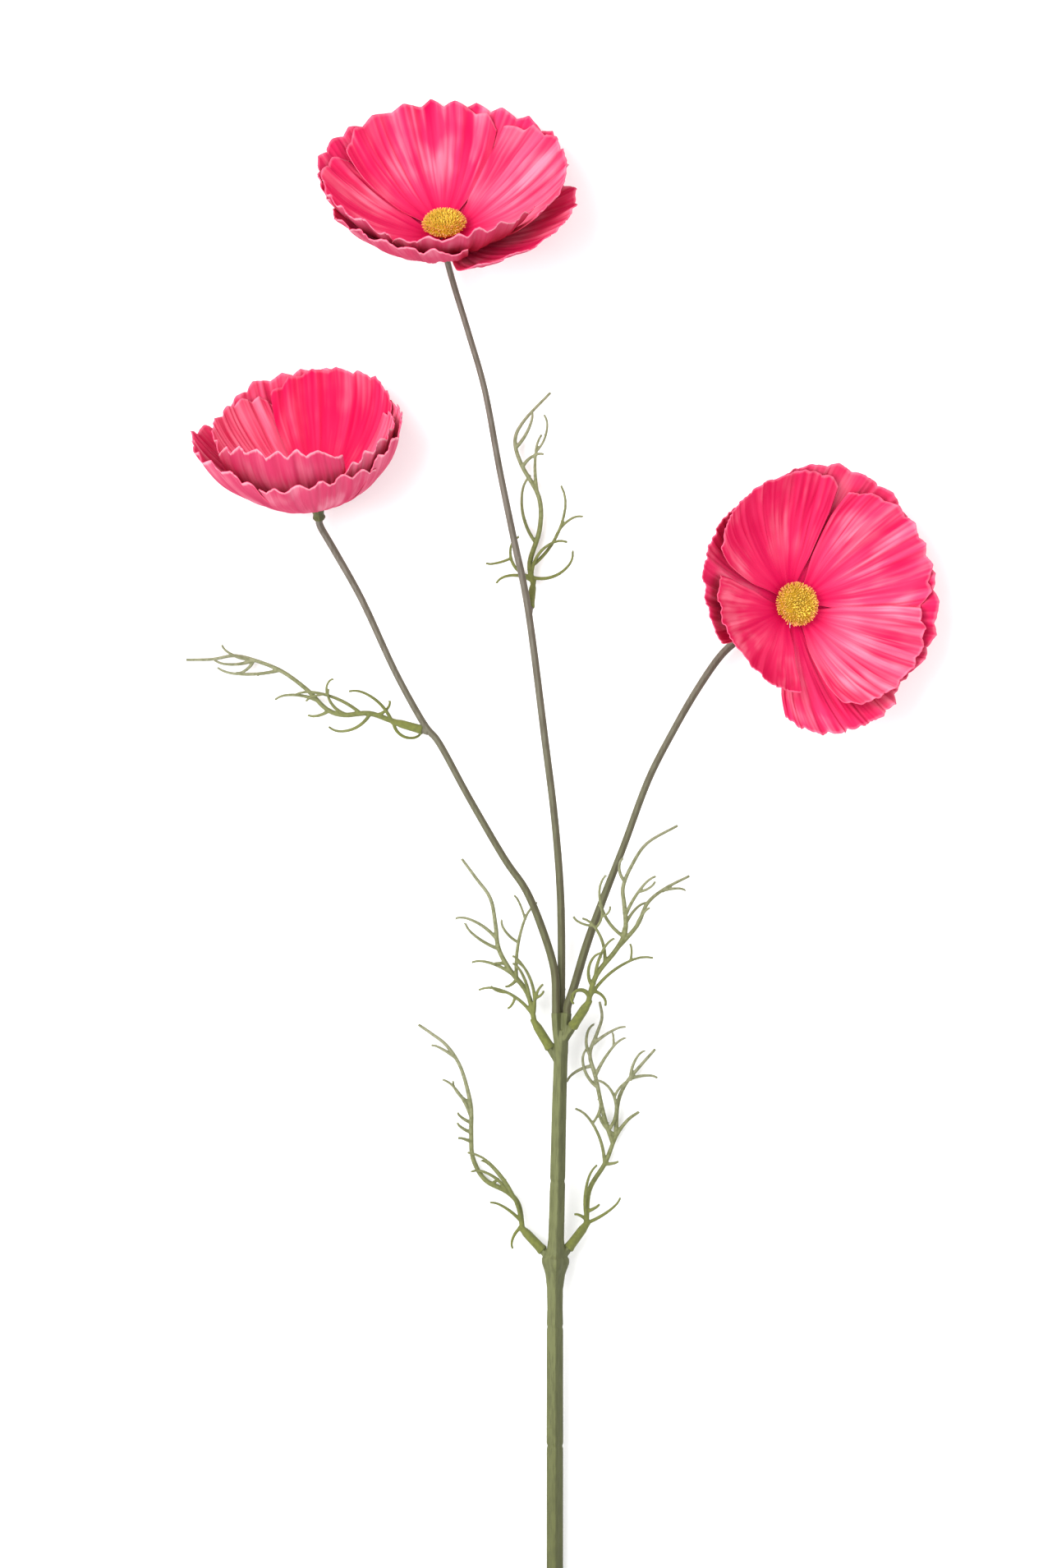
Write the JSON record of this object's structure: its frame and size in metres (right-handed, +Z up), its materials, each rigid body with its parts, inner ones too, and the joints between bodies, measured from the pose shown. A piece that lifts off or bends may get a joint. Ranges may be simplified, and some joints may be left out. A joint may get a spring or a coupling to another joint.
{
  "type": "cosmos flower spray",
  "caption": "Made cosmos spray laid flat: cupped pink blooms with pleated toothed petals and yellow centres, on a forked stem with feathery leaf sprigs.",
  "frame": {"origin": "bottom centre of the bounding box, on the surface the spray lies on", "axes": "+Y along the stem from its cut end towards the blooms, +X to the right as the spray is looked down on, +Z up from the surface"},
  "size_m": [0.2582, 0.5726, 0.0645],
  "materials": {
    "petal": "pleated polyester cloth, matte",
    "disc": "dense short florets, matte",
    "calyx": "moulded, matte",
    "stem": "moulded, fine grain",
    "branch": "moulded, fine grain",
    "leaf": "soft moulded, flocked",
    "wire": "drawn wire"
  },
  "bodies": {
    "root": {"main_stem": "stem", "core_wire": "wire", "branch_top": "branch", "branch_left": "branch", "branch_right": "branch", "calyx_top": "calyx", "calyx_left": "calyx", "calyx_right": "calyx", "disc_top": "disc", "disc_left": "disc", "disc_right": "disc", "petal_top_1": "petal", "petal_top_2": "petal", "petal_top_3": "petal", "petal_top_4": "petal", "petal_top_5": "petal", "petal_top_6": "petal", "petal_top_7": "petal", "petal_top_8": "petal", "petal_left_1": "petal", "petal_left_2": "petal", "petal_left_3": "petal", "petal_left_4": "petal", "petal_left_5": "petal", "petal_left_6": "petal", "petal_left_7": "petal", "petal_left_8": "petal", "petal_right_1": "petal", "petal_right_2": "petal", "petal_right_3": "petal", "petal_right_4": "petal", "petal_right_5": "petal", "petal_right_6": "petal", "petal_right_7": "petal", "petal_right_8": "petal", "leaf_a": "leaf", "leaf_b": "leaf", "leaf_c": "leaf", "leaf_d": "leaf", "leaf_e": "leaf", "leaf_f": "leaf"}
  },
  "joints": []
}
